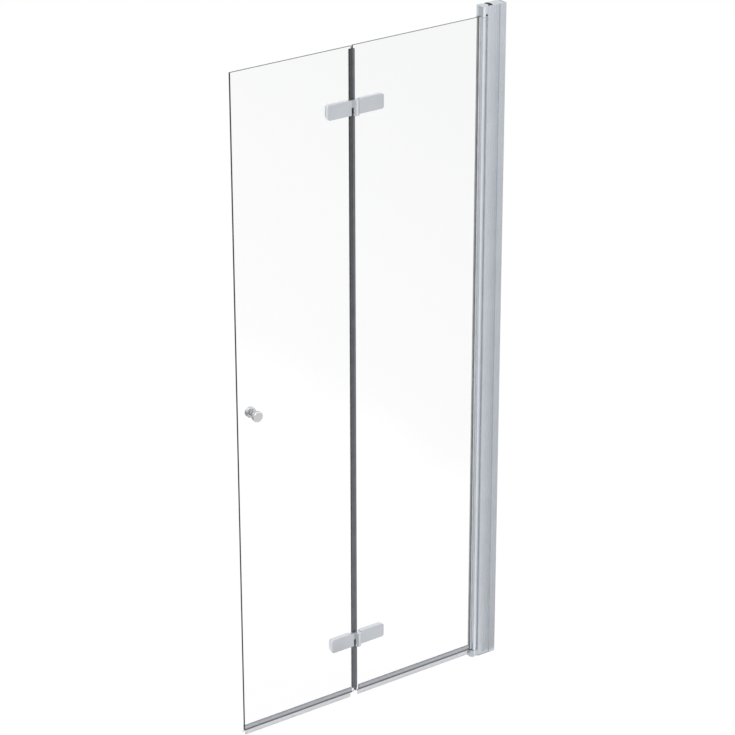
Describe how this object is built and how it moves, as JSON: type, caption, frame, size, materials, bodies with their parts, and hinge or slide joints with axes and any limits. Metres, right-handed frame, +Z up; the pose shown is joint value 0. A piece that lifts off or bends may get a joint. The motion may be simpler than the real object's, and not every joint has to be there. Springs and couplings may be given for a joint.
{
  "type": "folding shower door",
  "caption": "Frameless folding shower door: two clear glass leaves on satin fold hinges, turning on a slim aluminium wall post, with seals and a round knob.",
  "frame": {"origin": "on the wall face of the channel, at its foot and in the middle of its depth", "axes": "+X towards the wall, +Y into the shower, +Z up; the closed door lies along -X with its front facing -Y"},
  "size_m": [0.867, 0.0483, 2],
  "materials": {
    "anodised": "satin anodised",
    "block": "satin cast",
    "steel": "plain",
    "pane": "clear, polished",
    "dark_rubber": "matt",
    "clear_seal": "soft, slightly milky",
    "nylon": "matt",
    "satin_metal": "satin plated",
    "knob_metal": "polished plated"
  },
  "bodies": {
    "post": {"wall_channel": "anodised", "post_profile": "anodised", "top_pivot_block": "block", "foot_pivot_block": "block", "foot_cap": "block", "upper_pivot_pin": "steel", "lower_pivot_pin": "steel", "set_screw": "steel", "adjusting_screws": "steel", "block_screws": "steel", "post_seal": "dark_rubber"},
    "wall_side_leaf": {"swing_profile": "anodised", "upper_pivot_bush": "nylon", "lower_pivot_bush": "nylon", "wall_side_glass": "pane", "front_gasket": "clear_seal", "back_gasket": "dark_rubber", "wall_bottom_seal": "clear_seal", "wall_fold_seal": "dark_rubber", "upper_wall_leaf": "satin_metal", "lower_wall_leaf": "satin_metal", "upper_wall_back_plate": "satin_metal", "lower_wall_back_plate": "satin_metal", "upper_wall_front_pad": "dark_rubber", "upper_wall_back_pad": "dark_rubber", "lower_wall_front_pad": "dark_rubber", "lower_wall_back_pad": "dark_rubber", "wall_clamp_screws": "steel", "wall_hole_sleeves": "nylon", "upper_hinge_pin": "steel", "lower_hinge_pin": "steel"},
    "leading_leaf": {"leading_glass": "pane", "upper_lead_leaf": "satin_metal", "lower_lead_leaf": "satin_metal", "upper_lead_back_plate": "satin_metal", "lower_lead_back_plate": "satin_metal", "upper_lead_front_pad": "dark_rubber", "upper_lead_back_pad": "dark_rubber", "lower_lead_front_pad": "dark_rubber", "lower_lead_back_pad": "dark_rubber", "lead_clamp_screws": "steel", "lead_hole_sleeves": "nylon", "upper_hinge_bush": "nylon", "lower_hinge_bush": "nylon", "lead_fold_seal": "dark_rubber", "lead_bottom_seal": "clear_seal", "knob_front": "knob_metal", "knob_back": "knob_metal", "knob_stud": "steel", "knob_front_washer": "nylon", "knob_back_washer": "nylon"}
  },
  "joints": [
    {"name": "wall_pivot", "type": "hinge", "parent": "post", "child": "wall_side_leaf", "pos_m": [-0.0635, 0, 1], "axis": [0, 0, -1], "range_deg": [0, 90]},
    {"name": "fold", "type": "hinge", "parent": "wall_side_leaf", "child": "leading_leaf", "pos_m": [-0.4885, -0.0165, 1], "axis": [0, 0, 1], "range_deg": [0, 175]}
  ]
}
